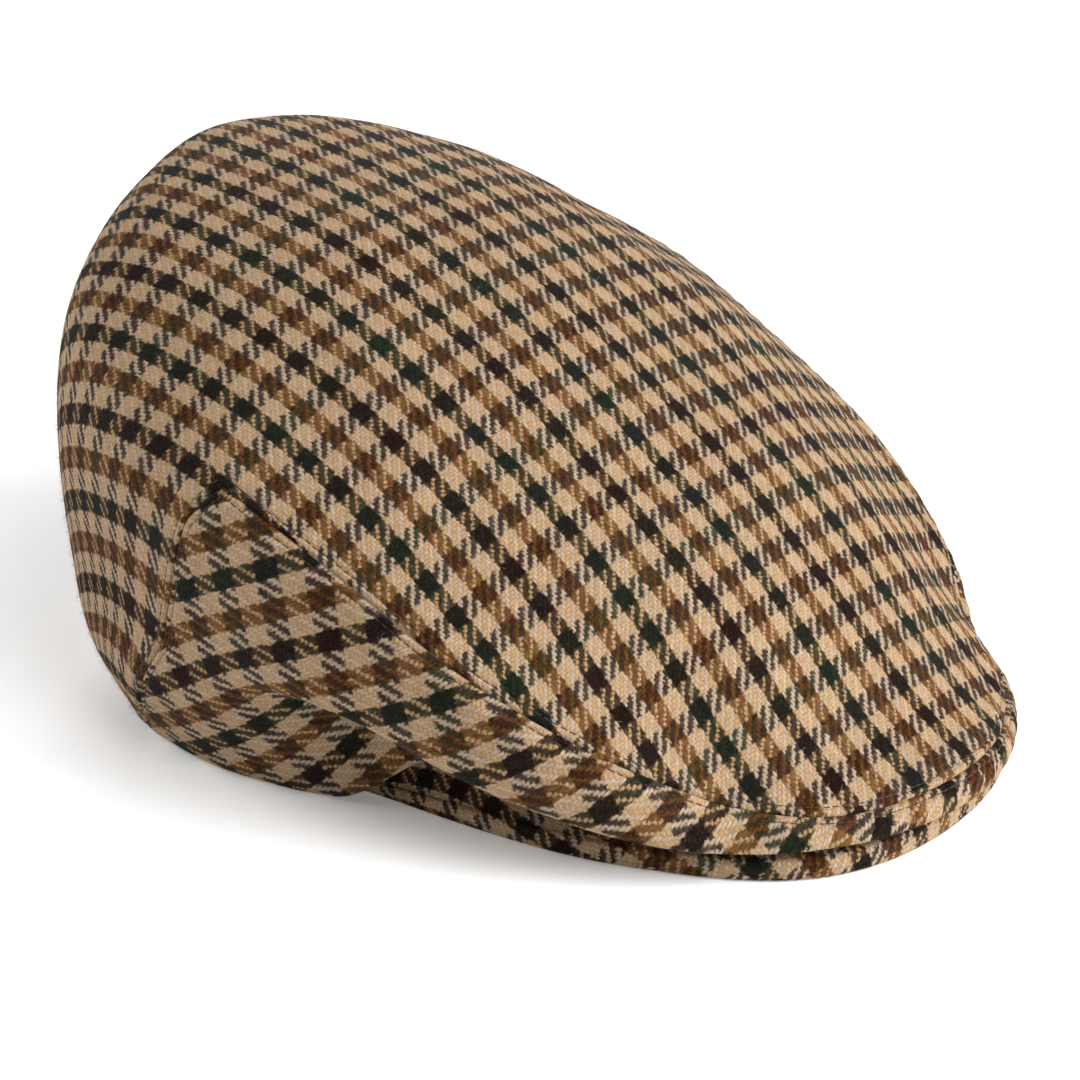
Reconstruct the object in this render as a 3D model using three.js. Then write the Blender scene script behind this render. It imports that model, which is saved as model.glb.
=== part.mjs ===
import * as THREE from 'three';

// A flat cap lying on a table, in millimetres.
// The front faces -Y, +X is the wearer's left, and Z points up from the table top.

const CLOTH_THICKNESS = 1.5;
const SEAM_GAP = 0.4;
const POLE_Y = 11.1;
const POLE_HEIGHT = 120.5;
const STATION_STEP = 20;
const APEX_ANGLE = 101;
const FRONT_COLUMNS = 20;
const BACK_COLUMNS = 16;
const PEAK_CORNER_ANGLE = 94;
const PEAK_COLUMNS = 52;
const PEAK_FLAT_WIDTH = 5;
const PEAK_EDGE_ROUND = 1.6;

const CLOTH_COLOUR = 0x8d7452;
const CLOTH_ROUGHNESS = 0.95;

// The rings of the crown from the top down to the rim. The columns of radius and height are the
// stations 0, 20, 40 ... 180 degrees round from the centre front. Rows is the number of mesh rows
// between the ring and the one above it.
const RINGS = [
  {
    name: 'inner',
    rows: 3,
    radius: [59.7, 59.2, 58.7, 57.8, 56.3, 53.9, 50.1, 45.7, 42.4, 41.4],
    height: [85.2, 86.2, 91.0, 98.7, 107.9, 117.7, 125.7, 131.9, 134.8, 135.3],
  },
  {
    name: 'outer',
    rows: 3,
    radius: [92.4, 92.0, 86.7, 80.9, 77.0, 77.0, 82.8, 91.5, 99.2, 102.1],
    height: [59.7, 62.2, 69.7, 82.1, 97.0, 107.8, 119.4, 130.0, 138.7, 142.5],
  },
  {
    name: 'brow',
    rows: 2,
    radius: [123.6, 118.2, 107.9, 100.0, 92.9, 93.7, 98.0, 105.8, 109.9, 111.0],
    height: [31.5, 34.5, 46.8, 65.3, 85.0, 100.0, 110.8, 122.6, 131.8, 135.4],
  },
  {
    name: 'seam',
    rows: 3,
    radius: [142.7, 134.3, 120.9, 111.7, 102.6, 104.0, 107.4, 114.6, 116.5, 116.5],
    height: [18.1, 17.8, 32.7, 54.5, 75.1, 92.4, 103.8, 114.8, 122.8, 125.2],
  },
  {
    name: 'belly',
    rows: 3,
    radius: [144.7, 136.7, 123.7, 115.6, 106.4, 107.6, 113.6, 121.8, 123.3, 122.3],
    height: [14.0, 14.0, 25.5, 45.7, 64.0, 79.0, 88.1, 93.4, 96.3, 96.8],
  },
  {
    name: 'fold',
    rows: 4,
    radius: [144.3, 137.5, 123.5, 112.7, 106.1, 105.6, 111.7, 120.4, 121.8, 120.9],
    height: [9.6, 10.4, 14.9, 27.4, 39.6, 42.7, 41.4, 42.6, 44.3, 45.1],
  },
  {
    name: 'tuck',
    rows: 3,
    radius: [134.8, 127.1, 110.0, 87.0, 85.5, 101.5, 109.0, 116.0, 117.5, 116.5],
    height: [10.9, 11.6, 17.3, 27.0, 36.5, 33.0, 23.6, 20.2, 20.8, 21.2],
  },
  {
    name: 'rim',
    rows: 3,
    radius: [102.6, 100.1, 92.5, 84.5, 80.2, 85.2, 96.6, 106.4, 110.7, 111.2],
    height: [11.6, 11.6, 11.6, 9.1, 2.7, 0.0, 0.0, 0.0, 0.6, 0.8],
  },
];
const SEAM_LEVEL = 4;
const RIM_LEVEL = RINGS.length;

// A shallow dent on both sides of the front, where the dome meets the wider strip over the peak.
// Width is the angle over which it fades, and share is how much of it each ring takes.
const DENT = {
  angle: 31,
  width: 7,
  inward: 4,
  down: 2,
  share: { brow: 0.45, seam: 1, belly: 0.9, fold: 0.5 },
};

// At each temple the rim turns up behind the fold, from its start angle to its full height, and
// comes down again towards the front.
const TEMPLE_LIFT = {
  start: 92,
  full: 70,
  end: 40,
  height: 13,
};

// The rear seam runs from the apex of the crown seam down to the rim. Its columns are the angles at
// the seam, belly, fold, tuck and rim rings.
const REAR_SEAM = {
  angle: [101.0, 106.0, 113.5, 121.5, 132.0],
};

// The peak at stations 0, 20 ... 100 degrees from the centre front: its outer edge, its root under
// the crown, the thickness of its edge and the height of its top at the root.
const PEAK = {
  outer: [140.0, 134.7, 108.4, 86.9, 75.4, 74.2],
  root: [97.0, 95.0, 86.0, 77.5, 71.0, 70.0],
  edge: [6.6, 6.4, 6.0, 5.6, 4.2, 2.0],
  crest: [11.4, 11.4, 11.0, 18.0, 16.0, 8.0],
};
const PEAK_TEMPLE_DIP = { start: 30, full: 58, share: 0.7 };

function smoothStep(from, to, value) {
  const t = Math.min(1, Math.max(0, (value - from) / (to - from)));
  return t * t * (3 - 2 * t);
}

// Smooth interpolation along one row of a table. The row is mirrored about its first column, and
// about its last one where mirrorEnd is true.
function alongRow(values, place, mirrorEnd, mirrorStart = true) {
  const last = values.length - 1;
  const start = Math.min(Math.floor(place), last - 1);
  const u = place - start;
  const weights = [
    -0.5 * u + u * u - 0.5 * u ** 3,
    1 - 2.5 * u * u + 1.5 * u ** 3,
    0.5 * u + 2 * u * u - 1.5 * u ** 3,
    -0.5 * u * u + 0.5 * u ** 3,
  ];
  const column = (index) => {
    if (index < 0) {
      return mirrorStart ? values[-index] : 2 * values[0] - values[1];
    }
    if (index > last) {
      return mirrorEnd ? values[2 * last - index] : 2 * values[last] - values[last - 1];
    }
    return values[index];
  };
  let sum = 0;
  for (let k = 0; k < 4; k += 1) {
    sum += weights[k] * column(start - 1 + k);
  }
  return sum;
}

function alongStations(values, angle, mirrorEnd) {
  return alongRow(values, angle / STATION_STEP, mirrorEnd);
}

function dentShare(angle) {
  return Math.exp(-(((angle - DENT.angle) / DENT.width) ** 2));
}

function templeLift(angle) {
  const rising = smoothStep(-TEMPLE_LIFT.start, -TEMPLE_LIFT.full, -angle);
  return TEMPLE_LIFT.height * rising * smoothStep(TEMPLE_LIFT.end, TEMPLE_LIFT.full, angle);
}

function ringPoint(level, angle) {
  if (level === 0) {
    return new THREE.Vector2(0, POLE_HEIGHT);
  }
  const ring = RINGS[level - 1];
  const pinch = dentShare(angle) * (DENT.share[ring.name] ?? 0);
  const radius = alongStations(ring.radius, angle, true) - DENT.inward * pinch;
  const lift = level === RIM_LEVEL ? templeLift(angle) : 0;
  const height = alongStations(ring.height, angle, true) - DENT.down * pinch + lift;
  return new THREE.Vector2(radius, Math.max(0, height));
}

// One point of the meridian at the given angle: a smooth curve through all the rings.
function meridianPoint(angle, level) {
  const start = Math.min(Math.floor(level), RIM_LEVEL - 1);
  const t = level - start;
  const p1 = ringPoint(start, angle);
  const p2 = ringPoint(start + 1, angle);
  let p0;
  if (start > 0) {
    p0 = ringPoint(start - 1, angle);
  } else {
    p0 = ringPoint(1, 180 - angle);
    p0.x = -p0.x;
  }
  let p3;
  if (start + 2 <= RIM_LEVEL) {
    p3 = ringPoint(start + 2, angle);
  } else {
    p3 = p2.clone().multiplyScalar(2).sub(p1);
  }
  const d1 = Math.sqrt(p1.distanceTo(p0));
  const d2 = Math.sqrt(p2.distanceTo(p1));
  const d3 = Math.sqrt(p3.distanceTo(p2));
  const point = (a, b, c, d) => {
    const leave = d2 * ((b - a) / d1 - (c - a) / (d1 + d2) + (c - b) / d2);
    const arrive = d2 * ((c - b) / d2 - (d - b) / (d2 + d3) + (d - c) / d3);
    const s2 = t * t;
    const s3 = s2 * t;
    const ends = (2 * s3 - 3 * s2 + 1) * b + (3 * s2 - 2 * s3) * c;
    return ends + (s3 - 2 * s2 + t) * leave + (s3 - s2) * arrive;
  };
  return new THREE.Vector2(point(p0.x, p1.x, p2.x, p3.x), point(p0.y, p1.y, p2.y, p3.y));
}

// Positive angles are on the wearer's right, which is the -X side.
function polarPoint(angle, radius, height) {
  const turn = THREE.MathUtils.degToRad(angle);
  return new THREE.Vector3(-radius * Math.sin(turn), POLE_Y - radius * Math.cos(turn), height);
}

function crownPoint(angle, level) {
  const flat = meridianPoint(Math.abs(angle), level);
  return polarPoint(angle, flat.x, flat.y);
}

function crownNormal(angle, level) {
  const side = angle < 0 ? -1 : 1;
  const here = Math.min(179.5, Math.max(0.5, Math.abs(angle))) * side;
  const at = Math.max(level, 0.05);
  const around = crownPoint(here + 0.4, at).sub(crownPoint(here - 0.4, at));
  const down = crownPoint(here, Math.min(at + 0.02, RIM_LEVEL)).sub(crownPoint(here, at - 0.02));
  return around.cross(down).normalize();
}

function rearSeamAngle(level) {
  const below = Math.max(0, level - SEAM_LEVEL);
  return alongRow(REAR_SEAM.angle, below, false, false);
}

// Columns are straight on the dome and lean below the seam so that one of them is the rear seam.
function columnAngle(base, level) {
  const lean = rearSeamAngle(level) - APEX_ANGLE;
  const size = Math.abs(base);
  let share;
  if (size <= APEX_ANGLE) {
    share = smoothStep(45, APEX_ANGLE, size);
  } else {
    share = (180 - size) / (180 - APEX_ANGLE);
  }
  return Math.sign(base) * (size + lean * share);
}

// The level that lies a given length of cloth below another level.
function levelBelow(angle, level, length) {
  const step = 0.01;
  const speed = crownPoint(angle, level + step).distanceTo(crownPoint(angle, level)) / step;
  return level + length / speed;
}

const halfColumns = [];
for (let k = 0; k <= FRONT_COLUMNS; k += 1) {
  halfColumns.push((APEX_ANGLE * k) / FRONT_COLUMNS);
}
for (let k = 1; k <= BACK_COLUMNS; k += 1) {
  halfColumns.push(APEX_ANGLE + ((180 - APEX_ANGLE) * k) / BACK_COLUMNS);
}

function levelsBetween(from, to) {
  const levels = [];
  for (let ring = from; ring < to; ring += 1) {
    const rows = RINGS[ring].rows;
    for (let k = 1; k <= rows; k += 1) {
      levels.push(ring + k / rows);
    }
  }
  return levels;
}

// A sheet of cloth: the outer point and normal of each corner, and four-cornered or
// three-cornered faces that look outwards.
class Sheet {
  constructor() {
    this.points = [];
    this.normals = [];
    this.faces = [];
  }

  add(angle, level) {
    const normal = crownNormal(angle, level);
    if (level === RIM_LEVEL) {
      normal.z *= 1 - smoothStep(62, 78, Math.abs(angle));
      normal.normalize();
    }
    this.points.push(crownPoint(angle, level));
    this.normals.push(normal);
    return this.points.length - 1;
  }

  solid() {
    const count = this.points.length;
    const places = [];
    for (const point of this.points) {
      places.push(point.x, point.y, point.z);
    }
    for (let k = 0; k < count; k += 1) {
      const inner = this.points[k].clone().addScaledVector(this.normals[k], -CLOTH_THICKNESS);
      places.push(inner.x, inner.y, inner.z);
    }
    const triangles = [];
    const edges = new Map();
    for (const face of this.faces) {
      for (let k = 1; k < face.length - 1; k += 1) {
        triangles.push(face[0], face[k], face[k + 1]);
        triangles.push(face[0] + count, face[k + 1] + count, face[k] + count);
      }
      for (let k = 0; k < face.length; k += 1) {
        edges.set(`${face[k]} ${face[(k + 1) % face.length]}`, [face[k], face[(k + 1) % face.length]]);
      }
    }
    for (const [a, b] of edges.values()) {
      if (!edges.has(`${b} ${a}`)) {
        triangles.push(b, a, a + count);
        triangles.push(b, a + count, b + count);
      }
    }
    return meshGeometry(places, triangles);
  }
}

function meshGeometry(places, triangles) {
  const geometry = new THREE.BufferGeometry();
  geometry.setAttribute('position', new THREE.Float32BufferAttribute(places, 3));
  geometry.setIndex(triangles);
  geometry.computeVertexNormals();
  return geometry;
}

// The top panel covers the dome inside the crown seam and runs down the back between the two
// rear seams to the nape.
function topPanel() {
  const sheet = new Sheet();
  const columns = halfColumns.concat(halfColumns.slice(1, -1).reverse().map((angle) => -angle));
  const pole = sheet.add(0, 0);
  let above = null;
  for (const level of levelsBetween(0, SEAM_LEVEL)) {
    const row = columns.map((angle) => sheet.add(angle, level));
    for (let k = 0; k < columns.length; k += 1) {
      const next = (k + 1) % columns.length;
      if (above === null) {
        sheet.faces.push([pole, row[next], row[k]]);
      } else {
        sheet.faces.push([above[k], above[next], row[next], row[k]]);
      }
    }
    above = row;
  }
  const first = FRONT_COLUMNS;
  const back = columns.slice(first, columns.length - first + 1);
  above = above.slice(first, columns.length - first + 1);
  for (const level of levelsBetween(SEAM_LEVEL, RIM_LEVEL)) {
    const row = back.map((angle) => sheet.add(columnAngle(angle, level), level));
    for (let k = 0; k < back.length - 1; k += 1) {
      sheet.faces.push([above[k], above[k + 1], row[k + 1], row[k]]);
    }
    above = row;
  }
  return sheet.solid();
}

// A side panel runs below the crown seam from the rear seam to the centre front, where it is a
// narrow strip that folds under above the peak.
function sidePanel(side) {
  const sheet = new Sheet();
  const columns = halfColumns.slice(0, FRONT_COLUMNS + 1);
  let above = null;
  for (const level of [SEAM_LEVEL].concat(levelsBetween(SEAM_LEVEL, RIM_LEVEL))) {
    const row = columns.map((base, k) => {
      let angle = columnAngle(base, level);
      const radius = meridianPoint(angle, level).x;
      const gapAngle = THREE.MathUtils.radToDeg(SEAM_GAP / radius);
      if (k === 0) {
        angle += gapAngle / 2;
      }
      if (k === columns.length - 1) {
        angle -= gapAngle;
      }
      const lowered = level === SEAM_LEVEL ? levelBelow(angle, level, SEAM_GAP) : level;
      return sheet.add(side * angle, lowered);
    });
    for (let k = 0; above !== null && k < columns.length - 1; k += 1) {
      const face = [above[k], above[k + 1], row[k + 1], row[k]];
      sheet.faces.push(side > 0 ? face : face.reverse());
    }
    above = row;
  }
  return sheet.solid();
}

// The peak is a padded crescent with a rounded edge and a level underside along that edge.
function peakSection(angle) {
  const size = Math.abs(angle);
  const outer = alongStations(PEAK.outer, size, false);
  const root = alongStations(PEAK.root, size, false);
  const edge = alongStations(PEAK.edge, size, false);
  const crest = alongStations(PEAK.crest, size, false);
  const depth = outer - root;
  const round = Math.min(PEAK_EDGE_ROUND, edge * 0.4, depth * 0.3);
  const flat = Math.min(PEAK_FLAT_WIDTH, depth * 0.3);
  const corner = round * 0.3;
  const sunk = PEAK_TEMPLE_DIP.share * smoothStep(PEAK_TEMPLE_DIP.start, PEAK_TEMPLE_DIP.full, size);
  const rise = (full, low) => (full * (1 - sunk) + low * sunk) * (crest - edge);
  const outline = [
    [root, crest - edge],
    [outer - round - flat - 0.3 * depth, 0.35 * (crest - edge)],
    [outer - round - flat, 0],
    [outer - round, 0],
    [outer - corner, corner],
    [outer, round],
    [outer, edge - round],
    [outer - corner, edge - corner],
    [outer - round, edge],
    [outer - 0.25 * depth, edge + rise(0.5, 0.02)],
    [outer - 0.55 * depth, edge + rise(0.86, 0.19)],
    [root, crest],
  ];
  return outline.map(([radius, height]) => polarPoint(angle, radius, height));
}

function peak() {
  const places = [];
  const triangles = [];
  let corners = 0;
  for (let k = 0; k <= PEAK_COLUMNS; k += 1) {
    const section = peakSection(PEAK_CORNER_ANGLE * ((2 * k) / PEAK_COLUMNS - 1));
    corners = section.length;
    for (const point of section) {
      places.push(point.x, point.y, point.z);
    }
  }
  for (let k = 0; k < PEAK_COLUMNS; k += 1) {
    for (let j = 0; j < corners; j += 1) {
      const next = (j + 1) % corners;
      const a = k * corners + j;
      const b = k * corners + next;
      triangles.push(a, b, b + corners);
      triangles.push(a, b + corners, a + corners);
    }
  }
  const last = PEAK_COLUMNS * corners;
  const flat = (start) => {
    const outline = [];
    for (let j = 0; j < corners; j += 1) {
      const index = 3 * (start + j);
      const radius = Math.hypot(places[index], places[index + 1] - POLE_Y);
      outline.push(new THREE.Vector2(radius, places[index + 2]));
    }
    return THREE.ShapeUtils.triangulateShape(outline, []);
  };
  for (const [a, b, c] of flat(0)) {
    triangles.push(a, c, b);
  }
  for (const [a, b, c] of flat(last)) {
    triangles.push(last + a, last + b, last + c);
  }
  return meshGeometry(places, triangles);
}

function piece(name, geometry) {
  const material = new THREE.MeshStandardMaterial({
    color: CLOTH_COLOUR,
    roughness: CLOTH_ROUGHNESS,
    metalness: 0,
  });
  material.name = name;
  const mesh = new THREE.Mesh(geometry, material);
  mesh.name = name;
  return mesh;
}

const cap = new THREE.Group();
cap.name = 'flat_cap';
cap.add(piece('top_panel', topPanel()));
cap.add(piece('side_panel_right', sidePanel(1)));
cap.add(piece('side_panel_left', sidePanel(-1)));
cap.add(piece('peak', peak()));

export default cap;
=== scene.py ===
# %% [markdown]
# # A checked flat cap
# The cap lies on a table: a domed top panel, two side panels that fold over a short peak, and a
# soft woollen check all over. The CAD frame gives the size and the place of each piece.

# %% Frame and tools
import math
import bpy
import numpy as np
from mathutils import Matrix


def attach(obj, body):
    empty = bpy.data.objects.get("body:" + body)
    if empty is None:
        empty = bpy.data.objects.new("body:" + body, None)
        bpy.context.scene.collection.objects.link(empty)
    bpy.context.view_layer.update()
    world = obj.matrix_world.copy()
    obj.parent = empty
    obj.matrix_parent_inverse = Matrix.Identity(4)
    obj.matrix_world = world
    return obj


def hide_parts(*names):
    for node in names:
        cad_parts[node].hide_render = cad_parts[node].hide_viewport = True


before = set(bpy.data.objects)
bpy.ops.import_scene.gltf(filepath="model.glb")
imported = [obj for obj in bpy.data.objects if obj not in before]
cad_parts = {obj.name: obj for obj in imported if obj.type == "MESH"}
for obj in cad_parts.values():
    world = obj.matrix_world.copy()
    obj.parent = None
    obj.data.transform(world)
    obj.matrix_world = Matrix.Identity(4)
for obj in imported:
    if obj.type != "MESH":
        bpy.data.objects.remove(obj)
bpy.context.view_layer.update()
MM = 0.001

# %% [markdown]
# ## The shape of the crown
# The crown is a stack of rings from the pole down to the rim. Each ring is a short row of radii and
# heights, one for every 20 degrees round from the centre front, and the cap is the same on both
# sides. A smooth curve runs through the rings at every angle, so any point of the cloth is named by
# an angle and a level: level 4 is the crown seam and level 8 is the rim.

# %% Rings of the crown, in millimetres
POLE_Y = 11.1
POLE_HEIGHT = 120.5
STATION_STEP = 20.0
SEAM_LEVEL = 4
RIM_LEVEL = 8
APEX_ANGLE = 101.0
RINGS = {
    "inner": {
        "radius": [59.7, 59.2, 58.7, 57.8, 56.3, 53.9, 50.1, 45.7, 42.4, 41.4],
        "height": [85.2, 86.2, 91.0, 98.7, 107.9, 117.7, 125.7, 131.9, 134.8, 135.3],
    },
    "outer": {
        "radius": [92.4, 92.0, 86.7, 80.9, 77.0, 77.0, 82.8, 91.5, 99.2, 102.1],
        "height": [59.7, 62.2, 69.7, 82.1, 97.0, 107.8, 119.4, 130.0, 138.7, 142.5],
    },
    "brow": {
        "radius": [123.6, 118.2, 107.9, 100.0, 92.9, 93.7, 98.0, 105.8, 109.9, 111.0],
        "height": [31.5, 34.5, 46.8, 65.3, 85.0, 100.0, 110.8, 122.6, 131.8, 135.4],
    },
    "seam": {
        "radius": [142.7, 134.3, 120.9, 111.7, 102.6, 104.0, 107.4, 114.6, 116.5, 116.5],
        "height": [18.1, 17.8, 32.7, 54.5, 75.1, 92.4, 103.8, 114.8, 122.8, 125.2],
    },
    "belly": {
        "radius": [144.7, 136.7, 123.7, 115.6, 106.4, 107.6, 113.6, 121.8, 123.3, 122.3],
        "height": [14.0, 14.0, 25.5, 45.7, 64.0, 79.0, 88.1, 93.4, 96.3, 96.8],
    },
    "fold": {
        "radius": [144.3, 137.5, 123.5, 112.7, 106.1, 105.6, 111.7, 120.4, 121.8, 120.9],
        "height": [9.6, 10.4, 14.9, 27.4, 39.6, 42.7, 41.4, 42.6, 44.3, 45.1],
    },
    "tuck": {
        "radius": [134.8, 127.1, 110.0, 87.0, 85.5, 101.5, 109.0, 116.0, 117.5, 116.5],
        "height": [10.9, 11.6, 17.3, 27.0, 36.5, 33.0, 23.6, 20.2, 20.8, 21.2],
    },
    "rim": {
        "radius": [102.6, 100.1, 92.5, 84.5, 80.2, 85.2, 96.6, 106.4, 110.7, 111.2],
        "height": [11.6, 11.6, 11.6, 9.1, 2.7, 0.0, 0.0, 0.0, 0.6, 0.8],
    },
}
REAR_SEAM_ANGLES = [101.0, 106.0, 113.5, 121.5, 132.0]
DENT = {"angle": 31.0, "width": 7.0, "inward": 4.0, "down": 2.0}
DENT_SHARE = {"brow": 0.45, "seam": 1.0, "belly": 0.9, "fold": 0.5}
TEMPLE_LIFT = {"start": 92.0, "full": 70.0, "end": 40.0, "height": 13.0}
print("rings:", ", ".join(RINGS))


# %% Smooth curves through the rings
def smooth_step(start, end, value):
    t = np.clip((np.asarray(value, float) - start) / (end - start), 0, 1)
    return t * t * (3 - 2 * t)


def curve_weights(u):
    """Weights of four neighbours on a smooth curve, a share u along its middle step."""
    return [
        -0.5 * u + u**2 - 0.5 * u**3,
        1 - 2.5 * u**2 + 1.5 * u**3,
        0.5 * u + 2 * u**2 - 1.5 * u**3,
        -0.5 * u**2 + 0.5 * u**3,
    ]


def along_row(values, place, mirrored=True):
    """A smooth curve through one row of a table, read at the given places."""
    values = list(values)
    before = values[1] if mirrored else 2 * values[0] - values[1]
    after = values[-2] if mirrored else 2 * values[-1] - values[-2]
    row = np.array([before] + values + [after])
    place = np.asarray(place, float)
    start = np.clip(np.floor(place).astype(int), 0, len(values) - 2)
    weights = curve_weights(place - start)
    return sum(weights[k] * row[start + k] for k in range(4))


def temple_lift(angles):
    """How far the rim rises at the temple, where the hem turns up behind the fold."""
    rising = smooth_step(-TEMPLE_LIFT["start"], -TEMPLE_LIFT["full"], -angles)
    return TEMPLE_LIFT["height"] * rising * smooth_step(TEMPLE_LIFT["end"], TEMPLE_LIFT["full"], angles)


def ring_table(angles):
    """Radius and height of the pole and of every ring at the given angles."""
    place = angles / STATION_STEP
    radii = [np.zeros_like(place)]
    heights = [np.full_like(place, POLE_HEIGHT)]
    dent = np.exp(-(((angles - DENT["angle"]) / DENT["width"]) ** 2))
    for name, ring in RINGS.items():
        pinch = dent * DENT_SHARE.get(name, 0)
        radii.append(along_row(ring["radius"], place) - DENT["inward"] * pinch)
        height = along_row(ring["height"], place) - DENT["down"] * pinch
        if name == "rim":
            height = height + temple_lift(angles)
        heights.append(np.maximum(0, height))
    return np.stack([np.stack(radii), np.stack(heights)], -1)


def meridian(angles, levels):
    """Radius and height of the crown at each angle and level."""
    rings = ring_table(angles)
    across_pole = ring_table(180 - angles)[1] * np.array([-1.0, 1.0])
    past_rim = 2 * rings[-1] - rings[-2]
    rings = np.concatenate([across_pole[None], rings, past_rim[None]])
    start = np.clip(np.floor(levels).astype(int), 0, RIM_LEVEL - 1)
    t = (levels - start)[:, None]
    each = np.arange(len(angles))
    p0, p1, p2, p3 = (rings[start + k, each] for k in range(4))
    d1, d2, d3 = (
        np.sqrt(np.linalg.norm(b - a, axis=1))[:, None] for a, b in ((p0, p1), (p1, p2), (p2, p3))
    )
    leave = d2 * ((p1 - p0) / d1 - (p2 - p0) / (d1 + d2) + (p2 - p1) / d2)
    arrive = d2 * ((p2 - p1) / d2 - (p3 - p1) / (d2 + d3) + (p3 - p2) / d3)
    ends = (2 * t**3 - 3 * t**2 + 1) * p1 + (3 * t**2 - 2 * t**3) * p2
    return ends + (t**3 - 2 * t**2 + t) * leave + (t**3 - t**2) * arrive


def crown_point(angles, levels):
    """Points of the smooth crown. Positive angles are on the wearer's right, which is -X."""
    angles, levels = np.broadcast_arrays(np.asarray(angles, float), np.asarray(levels, float))
    flat = meridian(np.abs(angles).ravel(), levels.ravel())
    turn = np.radians(angles.ravel())
    x = -flat[:, 0] * np.sin(turn)
    y = POLE_Y - flat[:, 0] * np.cos(turn)
    return np.stack([x, y, flat[:, 1]], -1).reshape(angles.shape + (3,))


def unit(vectors):
    return vectors / np.linalg.norm(vectors, axis=-1, keepdims=True)


def crown_normal(angles, levels):
    """Outward normals, turned level along the sides of the rim so that the hem stands upright."""
    angles, levels = np.broadcast_arrays(np.asarray(angles, float), np.asarray(levels, float))
    here = np.clip(np.abs(angles), 0.5, 179.5) * np.where(angles < 0, -1, 1)
    at = np.maximum(levels, 0.05)
    around = crown_point(here + 0.4, at) - crown_point(here - 0.4, at)
    down = crown_point(here, np.minimum(at + 0.02, RIM_LEVEL)) - crown_point(here, at - 0.02)
    normals = unit(np.cross(around, down))
    upright = smooth_step(7.5, RIM_LEVEL, levels) * smooth_step(62, 78, np.abs(angles))
    normals[..., 2] *= 1 - upright
    return unit(normals)


def rear_seam_angle(levels):
    return along_row(REAR_SEAM_ANGLES, np.maximum(0, levels - SEAM_LEVEL), mirrored=False)


def column_angle(base, levels):
    """Columns of cloth lean below the crown seam, so that one of them is the rear seam."""
    size = np.abs(base)
    in_front = smooth_step(45, APEX_ANGLE, size)
    behind = (180 - size) / (180 - APEX_ANGLE)
    share = np.where(size <= APEX_ANGLE, in_front, behind)
    return np.sign(base) * (size + (rear_seam_angle(levels) - APEX_ANGLE) * share)


print("front of the crown seam in mm:", crown_point(0.0, 4.0).round(1))

# %% [markdown]
# ## Seams, puckers and the hem
# On the real cap each seam is a valley where two turned edges meet. The turned cloth underneath
# lifts a band on both sides of it, and a row of topstitching pulls a groove into each band. These
# are heights over the smooth crown that depend only on the distance to the nearest seam, so one
# function gives them for every panel.

# %% Seam lines and the relief beside them
CLOTH_THICKNESS = 1.5
STITCH_INSET = 2.1
SEAM_GAP = 0.12


def line_lengths(line):
    steps = np.linalg.norm(np.diff(line, axis=0), axis=1)
    return np.concatenate([[0], np.cumsum(steps)])


def seam_lines():
    """Points of the crown seam and the rear seams, with the length along the seam at each."""
    angles = np.linspace(-APEX_ANGLE, APEX_ANGLE, 1500)
    crown = crown_point(angles, float(SEAM_LEVEL))
    lines = [crown]
    lengths = [line_lengths(crown)]
    levels = np.linspace(SEAM_LEVEL, RIM_LEVEL, 320)
    for side in (1, -1):
        rear = crown_point(side * rear_seam_angle(levels), levels)
        lines.append(rear)
        lengths.append(line_lengths(rear))
    return np.concatenate(lines), np.concatenate(lengths)


def nearest(points, line):
    """Distance from each point to the nearest point of a line, and which one it is."""
    found = np.empty(len(points), int)
    distance = np.empty(len(points))
    for start in range(0, len(points), 2000):
        block = points[start:start + 2000]
        square = ((block[:, None, :] - line[None, :, :]) ** 2).sum(-1)
        best = square.argmin(1)
        found[start:start + 2000] = best
        distance[start:start + 2000] = np.sqrt(square[np.arange(len(block)), best])
    return distance, found


SEAM_POINTS, SEAM_LENGTHS = seam_lines()
RIM_POINTS = crown_point(np.linspace(-180, 180, 1200), float(RIM_LEVEL))


def seam_relief(distance, length):
    """Height over the smooth crown beside a seam, in millimetres."""
    band = 0.45 * (1 - smooth_step(4.5, 8.5, distance))
    valley = -0.75 * np.exp(-((distance / 0.6) ** 2))
    groove = -0.42 * np.exp(-(((distance - STITCH_INSET) / 0.5) ** 2))
    wave = np.sin(2 * np.pi * length / 7.5 + 1.4 * np.sin(2 * np.pi * length / 31))
    pucker = 0.16 * wave * np.exp(-(((distance - 4.8) / 3) ** 2))
    return band + valley + groove + pucker


def soft_waves(points):
    """The slow unevenness of a soft crown, in millimetres."""
    x, y, z = points[:, 0], points[:, 1], points[:, 2]
    wide = np.sin(x / 13 + 0.7 * np.sin(y / 17)) * np.sin(y / 15 + 0.9 + z / 21)
    narrow = np.sin(x / 7.1 - y / 9.3 + 1.1) * np.sin(z / 8.3 + y / 11.9)
    return 0.35 * wide + 0.15 * narrow


def cloth_surface(angles, levels):
    """The outer face of the cloth with its seams and waves, and the smooth normals."""
    smooth = crown_point(angles, levels).reshape(-1, 3)
    normals = crown_normal(angles, levels).reshape(-1, 3)
    distance, found = nearest(smooth, SEAM_POINTS)
    to_rim = nearest(smooth, RIM_POINTS)[0]
    height = seam_relief(distance, SEAM_LENGTHS[found])
    height += soft_waves(smooth) * smooth_step(2, 25, distance) * smooth_step(2, 25, to_rim)
    height -= 0.9 * np.exp(-((to_rim / 1.1) ** 2))
    return smooth + normals * height[:, None], normals, to_rim


print("seam points:", len(SEAM_POINTS))

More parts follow.
